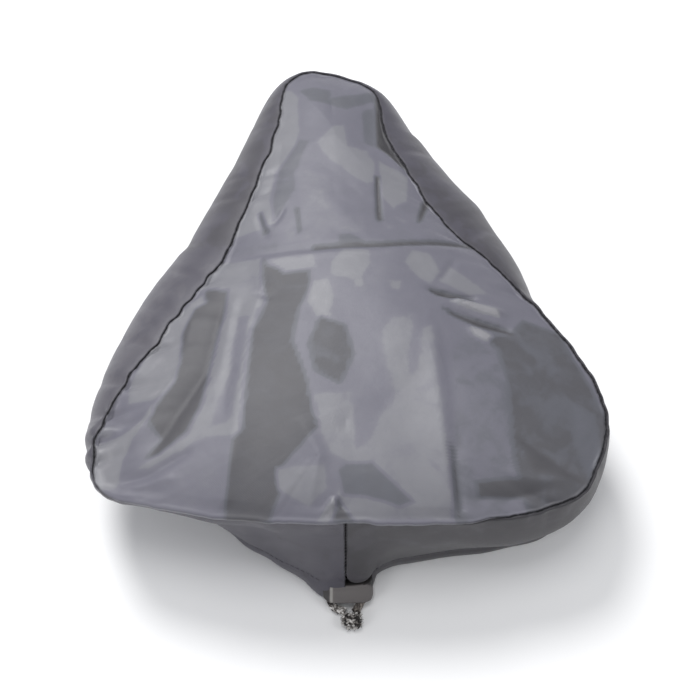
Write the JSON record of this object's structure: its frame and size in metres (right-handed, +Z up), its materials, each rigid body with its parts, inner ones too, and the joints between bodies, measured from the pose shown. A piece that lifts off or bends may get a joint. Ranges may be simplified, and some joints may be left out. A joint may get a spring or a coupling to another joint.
{
  "type": "bicycle saddle cover",
  "caption": "Hollow rain cover of coated cloth for a bicycle saddle: a crowned top sewn to a side band whose hem is drawn in by an elastic cord knotted at the back.",
  "frame": {"origin": "middle of the cloth cover's box at its base, on the plane that the hem rests on", "axes": "+Z up through the crowned top, +Y towards the narrow front, +X to the rider's right"},
  "size_m": [0.2513, 0.3094, 0.0787],
  "materials": {
    "top_cloth": "coated weave, soft sheen",
    "band_cloth": "coated weave, soft sheen",
    "elastic_cord": "braided, matte"
  },
  "bodies": {
    "root": {"top_panel": "top_cloth", "side_band": "band_cloth", "drawcord": "elastic_cord", "cord_knot": "elastic_cord"}
  },
  "joints": []
}
